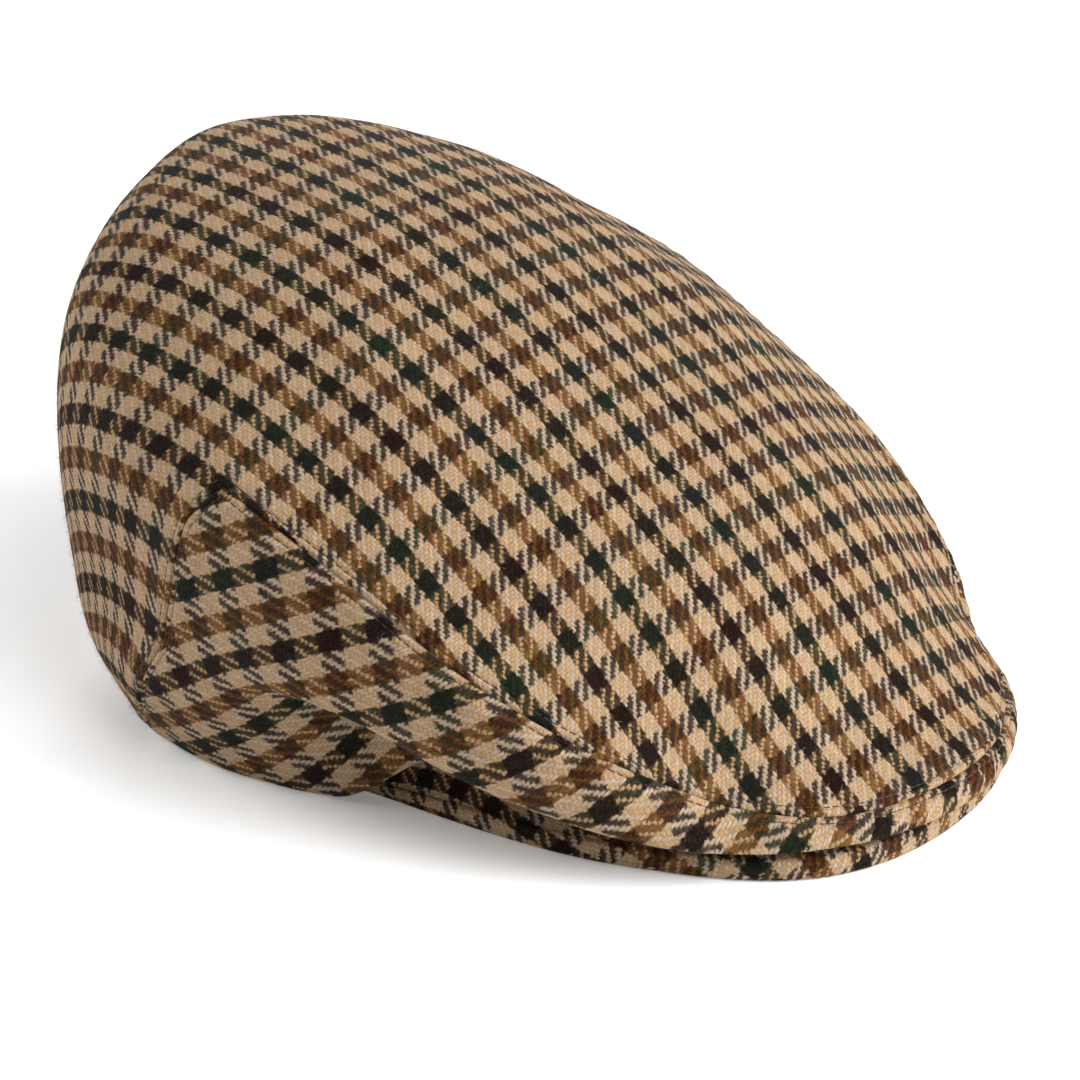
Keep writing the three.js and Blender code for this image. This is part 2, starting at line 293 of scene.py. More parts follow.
# %% [markdown]
# ## Laying the check
# The threads of a woven cloth keep their length, and only the angle between them gives way. To lay
# the check as a tailor's cloth would lie, a coarse mesh of each panel is flattened: every triangle
# asks for threads of the right spacing along both directions, and a least squares solve makes the
# neighbours agree. A few dozen rounds settle it. The result is one pair of numbers for each point,
# the count of checks across and along the cloth.

# %% Flattening by thread counts
CHECK_ACROSS = 9.79
CHECK_ALONG = 11.46


def thread_counts(points, triangles, first_guess, pinned, spacing, stiffness=0.15, rounds=80):
    """Checks across and along the cloth at each point of a coarse mesh."""
    a, b, c = (points[triangles[:, k]] for k in range(3))
    base = np.linalg.norm(b - a, axis=1)
    ahead = ((c - a) * (b - a)).sum(1) / base
    tall = np.sqrt(((c - a) ** 2).sum(1) - ahead**2)
    slopes = np.zeros((len(triangles), 3, 2))
    slopes[:, 0] = np.stack([-1 / base, (ahead / base - 1) / tall], 1)
    slopes[:, 1] = np.stack([1 / base, -ahead / (base * tall)], 1)
    slopes[:, 2] = np.stack([np.zeros_like(base), 1 / tall], 1)
    area = 0.5 * base * tall
    count = len(points)
    matrix = np.zeros((count, count))
    for i in range(3):
        for j in range(3):
            shares = area * (slopes[:, i] * slopes[:, j]).sum(1)
            np.add.at(matrix, (triangles[:, i], triangles[:, j]), shares)
    matrix[pinned] = 0
    matrix[pinned, pinned] = 1
    solve = np.linalg.inv(matrix)
    counts = first_guess.copy()
    for _ in range(rounds):
        steps = np.linalg.inv(np.einsum("tkd,tkc->tcd", slopes, counts[triangles]))
        across = unit(steps[:, :, 0])
        along = unit(steps[:, :, 1])
        hand = np.sign(across[:, 0] * along[:, 1] - across[:, 1] * along[:, 0])[:, None]
        square = unit(across + hand * np.stack([along[:, 1], -along[:, 0]], 1))
        upright = hand * np.stack([-square[:, 1], square[:, 0]], 1)
        across = spacing[0] * unit(across * (1 - stiffness) + square * stiffness)
        along = spacing[1] * unit(along * (1 - stiffness) + upright * stiffness)
        wanted = np.linalg.inv(np.stack([across, along], 2))
        sums = np.zeros((count, 2))
        for i in range(3):
            np.add.at(sums, triangles[:, i], area[:, None] * np.einsum("td,tcd->tc", slopes[:, i], wanted))
        sums[pinned] = first_guess[pinned]
        counts = solve @ sums
    return counts


def grid_triangles(rows, columns, closed=False):
    """Two triangles for each cell of a grid whose points are numbered row by row."""
    quads = grid_quads(rows, columns, closed)
    return np.concatenate([quads[:, [0, 1, 2]], quads[:, [0, 2, 3]]])


def grid_quads(rows, columns, closed=False):
    """The four corners of each cell of a grid whose points are numbered row by row."""
    cells = columns if closed else columns - 1
    row, column = np.meshgrid(np.arange(rows - 1), np.arange(cells), indexing="ij")
    after = (column + 1) % columns
    here, below = row * columns, (row + 1) * columns
    corners = [here + column, here + after, below + after, below + column]
    return np.stack([corner.ravel() for corner in corners], 1)


def spread(table, row_places, column_places, closed=False):
    """Reads a coarse table smoothly at finer rows and columns."""
    def read(values, places, wraps):
        last = len(values) - 1
        start = np.floor(places).astype(int)
        if not wraps:
            start = np.clip(start, 0, last - 1)
        u = (places - start).reshape((-1,) + (1,) * (values.ndim - 1))
        weights = curve_weights(u)
        total = 0
        for k in range(4):
            index = start - 1 + k
            if wraps:
                total = total + weights[k] * values[index % len(values)]
                continue
            inside = values[np.clip(index, 0, last)]
            low = (index < 0).reshape(u.shape)
            high = (index > last).reshape(u.shape)
            inside = np.where(low, 2 * values[0] - values[1], inside)
            inside = np.where(high, 2 * values[-1] - values[-2], inside)
            total = total + weights[k] * inside
        return total
    by_rows = read(table, row_places, False)
    return np.swapaxes(read(np.swapaxes(by_rows, 0, 1), column_places, closed), 0, 1)


print("one check in mm:", CHECK_ACROSS, "by", CHECK_ALONG)

# %% [markdown]
# ## From a grid to a piece of cloth
# A panel has an outer face and an inner face a cloth's thickness below it, joined round the border.
# The mesh keeps the thread counts as its UV map, named threads, and marks the outside faces so that
# the fuzz can grow there and nowhere else.

# %% Cloth mesh
def cloth_object(name, outer, inner, faces, counts):
    """A closed sheet in metres from its two faces, with the thread counts as its UV map."""
    count = len(outer)
    edges = {}
    for face in faces:
        for k, start in enumerate(face):
            edges[(start, face[(k + 1) % len(face)])] = True
    border = [(b, a, a + count, b + count) for a, b in edges if (b, a) not in edges]
    under = [tuple(corner + count for corner in reversed(face)) for face in faces]
    mesh = bpy.data.meshes.new(name)
    mesh.from_pydata((np.concatenate([outer, inner]) * MM).tolist(), [], list(faces) + under + border)
    mesh.shade_smooth()
    mesh.set_sharp_from_angle(angle=math.radians(60))
    corners = np.empty(len(mesh.loops), int)
    mesh.loops.foreach_get("vertex_index", corners)
    layer = mesh.uv_layers.new(name="threads")
    layer.uv.foreach_set("vector", counts[corners % count].astype(np.float32).ravel())
    outside = np.zeros(len(mesh.polygons), np.float32)
    outside[:len(faces)] = 1
    mesh.attributes.new("outside", "FLOAT", "FACE").data.foreach_set("value", outside)
    piece = bpy.data.objects.new(name, mesh)
    bpy.context.scene.collection.objects.link(piece)
    print(name, "triangles:", sum(len(p.vertices) - 2 for p in mesh.polygons))
    return piece


def inner_face(outer, normals, to_rim):
    """The inside of the cloth, with the turned hem doubled along the rim."""
    hem = 1.1 * (1 - smooth_step(9, 12, to_rim))
    lowered = outer - normals * (CLOTH_THICKNESS + hem)[:, None]
    lowered[:, 2] = np.maximum(lowered[:, 2], 0)
    return lowered


def graded(start, end, coarse, fine, near_start=0.0, near_end=0.0):
    """Steps from start to end that are fine within a given reach of either end."""
    span = end - start
    first = np.linspace(start, start + near_start, max(1, round(near_start / fine)), endpoint=False)
    middle_count = max(1, round((span - near_start - near_end) / coarse))
    middle = np.linspace(start + near_start, end - near_end, middle_count, endpoint=False)
    last = np.linspace(end - near_end, end, max(1, round(near_end / fine)) + 1)
    parts = [first] if near_start else []
    return np.concatenate(parts + [middle, last])


FRONT_COLUMNS = graded(0, APEX_ANGLE, 0.86, 0.25, near_end=4)
BACK_COLUMNS = graded(APEX_ANGLE, 180, 0.86, 0.25, near_start=4)
print("columns in front of and behind the apex:", len(FRONT_COLUMNS), len(BACK_COLUMNS))

# %% [markdown]
# ## The top panel
# One piece of cloth covers the dome inside the crown seam and runs on down the back to the nape.
# Its check was read off the photograph at the pole: nearly square to the cap, turned by three
# degrees. The dome settles the threads. Below its edge at the back the cloth hangs like a curtain,
# so the counts simply run on down the wall: the stripes go level round the sides of the back, and
# turn downwards towards the middle of it, where the cloth is eased in.

# %% Thread counts of the dome
COARSE_FRONT = 15
COARSE_BACK = 12
COARSE_LEVEL = 0.4
CHECK_AT_POLE = np.array([7.73, -1.25])
CHECK_TURN = math.radians(3.07)


def coarse_columns():
    half = np.concatenate([
        np.linspace(0, APEX_ANGLE, COARSE_FRONT + 1),
        np.linspace(APEX_ANGLE, 180, COARSE_BACK + 1)[1:],
    ])
    return np.concatenate([half, -half[-2:0:-1]])


def column_place(angles):
    """Where an angle falls among the coarse columns, counted round from the centre front."""
    size = np.abs(angles)
    front = size / APEX_ANGLE * COARSE_FRONT
    back = COARSE_FRONT + (size - APEX_ANGLE) / (180 - APEX_ANGLE) * COARSE_BACK
    place = np.where(size <= APEX_ANGLE, front, back)
    return np.where(angles < 0, 2 * (COARSE_FRONT + COARSE_BACK) - place, place)


def dome_counts():
    columns = coarse_columns()
    around = len(columns)
    levels = np.arange(COARSE_LEVEL, SEAM_LEVEL + 0.01, COARSE_LEVEL)
    pole = np.array([[0, POLE_Y, POLE_HEIGHT]])
    dome = crown_point(columns[None, :], levels[:, None])
    points = np.concatenate([pole, dome.reshape(-1, 3)])
    fan = [(0, 1 + (k + 1) % around, 1 + k) for k in range(around)]
    cells = grid_triangles(len(levels), around, closed=True) + 1
    down = np.concatenate([np.broadcast_to(pole, (1, around, 3)), dome])
    reach = np.cumsum(np.linalg.norm(np.diff(down, axis=0), axis=2), axis=0)
    turn = np.radians(np.concatenate([[0], np.tile(columns, len(levels))])) - CHECK_TURN
    far = np.concatenate([[0], reach.ravel()])
    guess = np.stack([-far * np.sin(turn) / CHECK_ACROSS, far * np.cos(turn) / CHECK_ALONG], 1)
    triangles = np.concatenate([np.array(fan), cells])
    spacing = (CHECK_ACROSS, CHECK_ALONG)
    counts = thread_counts(points, triangles, guess + CHECK_AT_POLE, 0, spacing)
    table = counts[1:].reshape(len(levels), around, 2)
    return np.concatenate([np.broadcast_to(counts[0], (1, around, 2)), table])


DOME_COUNTS = dome_counts()
FRONT_TO_BACK = DOME_COUNTS[-1, 0, 1] - DOME_COUNTS[-1, COARSE_FRONT + COARSE_BACK, 1]
print("checks on the dome from front to back:", round(float(FRONT_TO_BACK), 1))


# %% Thread counts down the back
THREAD_LEAN = 0.8
EASE_START = 114.0
BACK_CHECK_DOWN = 12.4


def back_counts(angles, levels):
    """Counts below the dome, carried down the wall from the edge above."""
    size = np.abs(angles)
    lean = THREAD_LEAN * (rear_seam_angle(levels) - APEX_ANGLE) / (180 - APEX_ANGLE)
    above = np.clip((size - 180 * lean) / (1 - lean), APEX_ANGLE - 8, 180)
    places = column_place(above.ravel() * np.sign(angles.ravel()))
    edge = spread(DOME_COUNTS[-2:], np.array([1.0]), places, True)[0].reshape(angles.shape + (2,))
    steps = np.linspace(0, 1, 25)[:, None]
    fall = SEAM_LEVEL + steps * (levels.ravel() - SEAM_LEVEL)[None, :]
    path = crown_point(np.broadcast_to(above.ravel(), fall.shape), fall)
    drop = np.linalg.norm(np.diff(path, axis=0), axis=2).sum(0).reshape(angles.shape)
    easing = np.pi / 2 * np.clip((above - EASE_START) / (180 - EASE_START), 0, 1)
    across = -np.sign(angles) * np.cos(easing) * drop / BACK_CHECK_DOWN
    along = -np.sin(easing) * drop / CHECK_ALONG
    return edge + np.stack([across, along], -1)


NAPE = back_counts(np.array([180.0]), np.array([float(RIM_LEVEL)]))[0]
print("checks across and along at the nape:", NAPE.round(1))

# %% Mesh of the top panel
def top_panel():
    half = np.concatenate([FRONT_COLUMNS, BACK_COLUMNS[1:]])
    columns = np.concatenate([half, -half[-2:0:-1]])
    around = len(columns)
    first = len(FRONT_COLUMNS) - 1
    back = columns[first:around - first + 1]
    dome_levels = graded(0, SEAM_LEVEL, 0.062, 0.02, near_end=0.34)[1:]
    dome_levels[-1] = SEAM_LEVEL - 0.004
    back_levels = graded(SEAM_LEVEL, RIM_LEVEL, 0.062, 0.03, near_end=0.24)[1:]
    dome_angles, dome_rows = np.meshgrid(columns, dome_levels)
    back_base, back_rows = np.meshgrid(back, back_levels)
    back_angles = column_angle(back_base, back_rows)
    inset = np.degrees(SEAM_GAP / 105)
    back_angles[:, 0] += inset
    back_angles[:, -1] -= inset
    angles = np.concatenate([[0], dome_angles.ravel(), back_angles.ravel()])
    levels = np.concatenate([[0.001], dome_rows.ravel(), back_rows.ravel()])
    outer, normals, to_rim = cloth_surface(angles, levels)
    dome_part = spread(DOME_COUNTS, dome_levels / COARSE_LEVEL, column_place(columns), closed=True)
    back_part = back_counts(back_angles, back_rows)
    counts = np.concatenate([DOME_COUNTS[0, :1], dome_part.reshape(-1, 2), back_part.reshape(-1, 2)])
    faces = [(0, 1 + (k + 1) % around, 1 + k) for k in range(around)]
    faces += [tuple(quad) for quad in (grid_quads(len(dome_levels), around, closed=True) + 1).tolist()]
    first_back = 1 + len(dome_levels) * around
    seam_row = first_back - around + np.arange(first, around - first + 1)
    rows = np.concatenate([seam_row, first_back + np.arange(len(back_levels) * len(back))])
    faces += [tuple(quad) for quad in rows[grid_quads(len(back_levels) + 1, len(back))].tolist()]
    return cloth_object("top_cloth", outer, inner_face(outer, normals, to_rim), faces, counts)


top_cloth = top_panel()

# %% [markdown]
# ## The side panels
# Each side panel hangs below the crown seam and narrows to a strip over the peak, where it folds
# under. Its cloth was cut on the slant, so the check stands at about 45 degrees to the seam. The
# panel is laid flat first, and a slanting lattice of checks, read off the photograph near the temple,
# is then laid on the flat cloth.

# %% Thread counts of a side panel
SIDE_ROWS = 25
SIDE_COLUMNS = 31
CHORD_COLUMN = 10
SIDE_CHECK = {"x": 180.65, "y": 15.76}
SIDE_ACROSS = np.array([7.83, -7.54])
SIDE_ALONG = np.array([8.34, 12.2])


def side_flat():
    """The right panel laid flat in mm: x from the front to the rear, y down from the crown seam."""
    bases = np.linspace(0, APEX_ANGLE, SIDE_COLUMNS)
    levels = np.linspace(SEAM_LEVEL, RIM_LEVEL, SIDE_ROWS)
    points = crown_point(column_angle(bases[None, :], levels[:, None]), levels[:, None])
    along_seam = line_lengths(points[0])
    down = np.cumsum(np.linalg.norm(np.diff(points, axis=0), axis=2), axis=0)
    down = np.concatenate([np.zeros((1, SIDE_COLUMNS)), down])
    guess = np.stack([np.broadcast_to(along_seam, down.shape), down], -1).reshape(-1, 2)
    triangles = grid_triangles(SIDE_ROWS, SIDE_COLUMNS)
    flat = thread_counts(points.reshape(-1, 3), triangles, guess, 0, (1, 1), stiffness=1.0)
    chord = unit(flat[SIDE_COLUMNS - 1] - flat[CHORD_COLUMN])
    flat = np.stack([flat @ chord, flat @ np.array([-chord[1], chord[0]])], 1)
    return (flat - flat.min(0)).reshape(SIDE_ROWS, SIDE_COLUMNS, 2)


def side_counts(side):
    """Counts of checks on a side panel: the left one is the mirror of the right one's cut."""
    from_check = SIDE_FLAT - np.array([SIDE_CHECK["x"], SIDE_CHECK["y"]])
    steps = np.linalg.inv(np.stack([SIDE_ACROSS, SIDE_ALONG], 1))
    across, along = np.moveaxis(from_check @ steps.T, -1, 0)
    return np.stack([across, 1 - along if side > 0 else along], -1)


SIDE_FLAT = side_flat()
print("side panel laid flat in mm:", SIDE_FLAT.max((0, 1)).round(0))


# %% Mesh of a side panel
def side_panel(name, side):
    columns = graded(0, APEX_ANGLE, 0.6, 0.25, near_end=4)
    levels = graded(SEAM_LEVEL, RIM_LEVEL, 0.036, 0.02, near_start=0.5, near_end=0.2)
    base, rows = np.meshgrid(columns, levels)
    angles = column_angle(base, rows)
    inset = np.degrees(SEAM_GAP / 105)
    angles[:, 0] += inset / 2
    angles[:, -1] -= inset
    rows = rows.copy()
    rows[0] += 0.012
    outer, normals, to_rim = cloth_surface(side * angles, rows)
    table = side_counts(side)
    row_places = (levels - SEAM_LEVEL) / (RIM_LEVEL - SEAM_LEVEL) * (SIDE_ROWS - 1)
    counts = spread(table, row_places, columns / APEX_ANGLE * (SIDE_COLUMNS - 1)).reshape(-1, 2)
    quads = grid_quads(len(levels), len(columns))
    if side < 0:
        quads = quads[:, ::-1]
    faces = [tuple(quad) for quad in quads.tolist()]
    return cloth_object(name, outer, inner_face(outer, normals, to_rim), faces, counts)


side_cloth_right = side_panel("side_cloth_right", 1)
side_cloth_left = side_panel("side_cloth_left", -1)

# %% [markdown]
# ## The peak
# The peak is a stiff crescent covered in the same cloth, mostly hidden under the crown. What shows
# is its edge: a rounded band with the seam of its cover as a fine line low on it. Sections are
# swept round the front, each one an outline of underside, edge and top.

# %% Sections of the peak
PEAK_CORNER_ANGLE = 94
PEAK_STATION_STEP = 20.0
PEAK = {
    "outer": [140.0, 134.7, 108.4, 86.9, 75.4, 74.2],
    "root": [97.0, 95.0, 86.0, 77.5, 71.0, 70.0],
    "edge": [6.6, 6.4, 6.0, 5.6, 4.2, 2.0],
    "crest": [11.4, 11.4, 11.0, 18.0, 16.0, 8.0],
}
PEAK_TEMPLE_DIP = {"start": 30, "full": 58, "share": 0.7}
PEAK_NOSE = 2.2
PEAK_SQUARENESS = 2.6
PEAK_SEAM = {"share": 0.34, "width": 0.35, "depth": 0.45}
PEAK_CHECK_PIN = np.array([8.5, 14.0])


def peak_row(name, angle):
    values = PEAK[name]
    row = [values[1]] + values + [2 * values[-1] - values[-2]]
    place = abs(angle) / PEAK_STATION_STEP
    start = min(int(place), len(values) - 2)
    return float(along_row(row, place + 1, mirrored=False)) if start >= 0 else values[0]


def peak_section(angle):
    """Outline of the peak at one angle from the lower root round the edge to the upper root."""
    outer = peak_row("outer", angle)
    root = peak_row("root", angle)
    edge = peak_row("edge", angle)
    crest = peak_row("crest", angle)
    depth = outer - root
    nose = min(PEAK_NOSE, 0.3 * depth)
    inside = np.linspace(0, 1, 16)[:-1]
    under_radius = root + (depth - nose) * inside
    under_height = (crest - edge) * (1 - smooth_step(0, 0.75, inside))
    turn = np.linspace(-np.pi / 2, np.pi / 2, 33)
    round_off = 2 / PEAK_SQUARENESS
    nose_radius = outer - nose + nose * np.abs(np.cos(turn)) ** round_off
    nose_height = edge / 2 + edge / 2 * np.sign(np.sin(turn)) * np.abs(np.sin(turn)) ** round_off
    from_seam = (nose_height - PEAK_SEAM["share"] * edge) / PEAK_SEAM["width"]
    seam = np.exp(-(from_seam**2)) * (nose_radius > outer - 0.6 * nose)
    nose_radius = nose_radius - PEAK_SEAM["depth"] * seam
    back = np.linspace(0, 1, 24)[1:]
    top_radius = outer - nose - (depth - nose) * back
    dip = PEAK_TEMPLE_DIP
    sunk = dip["share"] * smooth_step(dip["start"], dip["full"], abs(angle))
    early_rise = 1 - (1 - back) ** 2.4
    late_rise = back**2.8
    top_height = edge + (crest - edge) * ((1 - sunk) * early_rise + sunk * late_rise)
    radius = np.concatenate([under_radius, nose_radius, top_radius])
    height = np.concatenate([under_height, nose_height, top_height])
    return radius, height


print("depth of the peak at the front in mm:", PEAK["outer"][0] - PEAK["root"][0])


# %% Mesh of the peak
def peak_piece():
    angles = np.linspace(-PEAK_CORNER_ANGLE, PEAK_CORNER_ANGLE, 321)
    points = []
    counts = []
    for angle in angles:
        radius, height = peak_section(angle)
        turn = math.radians(angle)
        places = np.stack([-radius * math.sin(turn), POLE_Y - radius * math.cos(turn), height], 1)
        far = radius[-1] + line_lengths(np.stack([radius, height], 1)[::-1])[::-1]
        flat = np.stack([-far * math.sin(turn) / CHECK_ACROSS, (far * math.cos(turn) - 142) / CHECK_ALONG], 1)
        points.append(places)
        counts.append(flat + PEAK_CHECK_PIN)
    corners = len(points[0])
    columns = len(angles)
    mesh = bpy.data.meshes.new("peak_cloth")
    faces = [tuple(quad) for quad in grid_quads(columns, corners, closed=True)[:, ::-1].tolist()]
    faces.append(tuple(range(corners)))
    faces.append(tuple(reversed(range((columns - 1) * corners, columns * corners))))
    mesh.from_pydata((np.concatenate(points) * MM).tolist(), [], faces)
    mesh.shade_smooth()
    mesh.set_sharp_from_angle(angle=math.radians(60))
    index = np.empty(len(mesh.loops), int)
    mesh.loops.foreach_get("vertex_index", index)
    layer = mesh.uv_layers.new(name="threads")
    layer.uv.foreach_set("vector", np.concatenate(counts)[index].astype(np.float32).ravel())
    outside = np.ones(len(mesh.polygons), np.float32)
    mesh.attributes.new("outside", "FLOAT", "FACE").data.foreach_set("value", outside)
    piece = bpy.data.objects.new("peak_cloth", mesh)
    bpy.context.scene.collection.objects.link(piece)
    print("peak_cloth triangles:", sum(len(p.vertices) - 2 for p in mesh.polygons))
    return piece


peak_cloth = peak_piece()

# %% [markdown]
# ## The woollen twill
# The cloth is a two-and-two twill: each thread passes over two and under two, one step further on
# each row, which draws fine diagonal lines. Six cream threads and six coloured ones repeat both
# ways. The material works like a loom: it rounds the thread counts down to a thread in each
# direction, asks which of the two lies on top, and colours the point by that thread. The rounded
# shape of the float gives the bump and a painted shade that darkens the yarn where the float dips
# into the hollows between threads, and noise gives the heather of the wool. The same loom is asked
# again at places scattered a little to the side: those are the stray fibres and the felted surface.

# %% Node helpers
def add(tree, kind, inputs=None, **settings):
    """One node with its settings, its input values and its links."""
    node = tree.nodes.new(kind)
    for name, value in settings.items():
        setattr(node, name, value)
    for socket, value in (inputs or {}).items():
        if isinstance(value, bpy.types.NodeSocket):
            tree.links.new(value, node.inputs[socket])
        else:
            node.inputs[socket].default_value = value
    return node


def calc(tree, operation, *values):
    return add(tree, "ShaderNodeMath", dict(enumerate(values)), operation=operation).outputs[0]


def linear(red, green, blue):
    """A colour as seen on a screen, 0 to 255, as the light that a material needs."""
    parts = [value / 255 for value in (red, green, blue)]
    return tuple(p / 12.92 if p <= 0.04045 else ((p + 0.055) / 1.055) ** 2.4 for p in parts) + (1.0,)


def new_group(name, inputs, outputs, kind="ShaderNodeTree"):
    tree = bpy.data.node_groups.new(name, kind)
    for title, socket in inputs:
        tree.interface.new_socket(title, in_out="INPUT", socket_type=socket)
    for title, socket in outputs:
        tree.interface.new_socket(title, in_out="OUTPUT", socket_type=socket)
    return tree, add(tree, "NodeGroupInput"), add(tree, "NodeGroupOutput")


print("node helpers ready")

# %% Colours of the yarns
YARNS = {
    "pale cream": linear(164, 144, 123),
    "cream": linear(160, 132, 100),
    "tan": linear(86, 56, 30),
    "dark brown": linear(19, 10, 7),
    "green": linear(10, 23, 14),
    "maroon": linear(26, 6, 4),
    "charcoal": linear(24, 19, 18),
    "olive green": linear(19, 28, 15),
    "fleck": linear(117, 85, 54),
}
LENGTHWISE = ["dark brown", "tan", "green", "tan"]
CROSSWISE = ["maroon", "charcoal", "olive green", "charcoal"]
THREADS_PER_CHECK = 12
SCATTER = {
    "uneven threads": {"scale": 0.35, "detail": 2.0, "reach": 1.2},
    "ragged floats": {"scale": 0.9, "detail": 1.0, "reach": 1.5},
    "stray fibres": {"scale": 3.4, "detail": 2.0, "reach": 1.7},
    "felted surface": {"scale": 5.2, "detail": 2.0, "reach": 2.6},
}
FELTED_OVER = 0.36
FLECK_SHARE = 0.17
FELTED_SHARE = {"undyed": 0.14, "dyed": 0.4}
TONE_SWAY = {"undyed": 0.8, "dyed": 1.8}
HUE_SWAY = {"undyed": 0.05, "dyed": 0.17}
DEPTH_SWAY = {"undyed": 0.6, "dyed": 2.0}


def stripe_colour(tree, thread, order, ground):
    """The colour of a thread, from its number, the ground colour and the order of the stripes."""
    check = calc(tree, "DIVIDE", calc(tree, "ADD", thread, 0.5), THREADS_PER_CHECK)
    part = calc(tree, "FRACT", check)
    coloured = calc(tree, "COMPARE", part, 0.5, 0.25)
    stripe = calc(tree, "FRACT", calc(tree, "DIVIDE", calc(tree, "FLOOR", check), len(order)))
    ramp = add(tree, "ShaderNodeValToRGB", {"Fac": calc(tree, "ADD", stripe, 0.5 / len(order))})
    ramp.color_ramp.interpolation = "CONSTANT"
    for k, name in enumerate(order):
        if k < 2:
            stop = ramp.color_ramp.elements[k]
        else:
            stop = ramp.color_ramp.elements.new(k / len(order))
        stop.position = k / len(order)
        stop.color = YARNS[name]
    inputs = {"Factor": coloured, 6: YARNS[ground], 7: ramp.outputs["Color"]}
    return add(tree, "ShaderNodeMix", inputs, data_type="RGBA").outputs[2], coloured


print("yarns:", ", ".join(YARNS))


# %% Twill group
def mixed(tree, factor, first, second):
    return add(tree, "ShaderNodeMix", {"Factor": factor, 2: first, 3: second}).outputs[0]


def mixed_colour(tree, factor, first, second, blend="MIX"):
    inputs = {"Factor": factor, 6: first, 7: second}
    return add(tree, "ShaderNodeMix", inputs, data_type="RGBA", blend_type=blend).outputs[2]


def mixed_vector(tree, factor, first, second):
    inputs = {"Factor": factor, 4: first, 5: second}
    return add(tree, "ShaderNodeMix", inputs, data_type="VECTOR").outputs[1]


def remap(tree, value, low, high, to_low, to_high):
    inputs = {0: value, 1: low, 2: high, 3: to_low, 4: to_high}
    return add(tree, "ShaderNodeMapRange", inputs, interpolation_type="SMOOTHSTEP").outputs[0]


def noise(tree, place, scale, detail=2.0, roughness=0.6):
    inputs = {"Vector": place, "Scale": scale, "Detail": detail, "Roughness": roughness}
    return add(tree, "ShaderNodeTexNoise", inputs).outputs


def vector(tree, operation, first, second):
    return add(tree, "ShaderNodeVectorMath", {0: first, 1: second}, operation=operation).outputs[0]


def scatter(tree, place, scale, detail, reach):
    """A small random shift of a place, the same each time it is asked for."""
    colour = noise(tree, place, scale, detail, 0.65)["Color"]
    return vector(tree, "MULTIPLY", vector(tree, "SUBTRACT", colour, (0.5, 0.5, 0.5)), (reach, reach, 0))


def floats_group():
    """Which yarn lies on top at a place counted in threads, with its colour and rounded height."""
    tree, group_in, group_out = new_group(
        "twill_floats",
        [("Place", "NodeSocketVector")],
        [
            ("Colour", "NodeSocketColor"),
            ("Height", "NodeSocketFloat"),
            ("Crosswise", "NodeSocketFloat"),
            ("Dyed", "NodeSocketFloat"),
        ],
    )
    split = add(tree, "ShaderNodeSeparateXYZ", {0: group_in.outputs["Place"]})
    across, along = split.outputs[0], split.outputs[1]
    warp, weft = calc(tree, "FLOOR", across), calc(tree, "FLOOR", along)
    in_warp, in_weft = calc(tree, "FRACT", across), calc(tree, "FRACT", along)
    step = calc(tree, "FLOORED_MODULO", calc(tree, "ADD", calc(tree, "ADD", warp, weft), 0.01), 4.0)
    step = calc(tree, "FLOOR", step)
    weft_up = calc(tree, "GREATER_THAN", step, 1.5)
    warp_run = calc(tree, "MULTIPLY", calc(tree, "ADD", step, in_weft), 0.5)
    weft_run = calc(tree, "MULTIPLY", calc(tree, "ADD", calc(tree, "SUBTRACT", step, 2.0), in_warp), 0.5)
    run = mixed(tree, weft_up, warp_run, weft_run)
    wide = mixed(tree, weft_up, in_warp, in_weft)
    centred = calc(tree, "MULTIPLY", calc(tree, "SUBTRACT", wide, 0.5), 1.9)
    section = calc(tree, "SQRT", calc(tree, "SUBTRACT", 1.0, calc(tree, "MULTIPLY", centred, centred)))
    arch = calc(tree, "POWER", calc(tree, "SINE", calc(tree, "MULTIPLY", run, math.pi)), 0.6)
    height = calc(tree, "MULTIPLY", section, arch)
    warp_colour, warp_dyed = stripe_colour(tree, warp, LENGTHWISE, "pale cream")
    weft_colour, weft_dyed = stripe_colour(tree, weft, CROSSWISE, "cream")
    top = mixed_colour(tree, weft_up, warp_colour, weft_colour)
    under = mixed_colour(tree, weft_up, weft_colour, warp_colour)
    warp_edge = remap(tree, arch, 0.2, 0.6, 1.0, 0.0)
    weft_edge = remap(tree, arch, 0.6, 1.0, 1.0, 0.0)
    covered = mixed(tree, weft_up, warp_edge, weft_edge)
    yarn = mixed_colour(tree, covered, top, mixed_colour(tree, 1.0, top, under, "DARKEN"))
    both_dyed = calc(tree, "MULTIPLY", warp_dyed, weft_dyed)
    felted_share = mixed(tree, both_dyed, FELTED_SHARE["undyed"], FELTED_SHARE["dyed"])
    yarn = mixed_colour(tree, felted_share, yarn, mixed_colour(tree, 0.5, warp_colour, weft_colour))
    tree.links.new(mixed(tree, weft_up, warp_dyed, weft_dyed), group_out.inputs["Dyed"])
    tree.links.new(yarn, group_out.inputs["Colour"])
    tree.links.new(height, group_out.inputs["Height"])
    tree.links.new(weft_up, group_out.inputs["Crosswise"])
    return tree


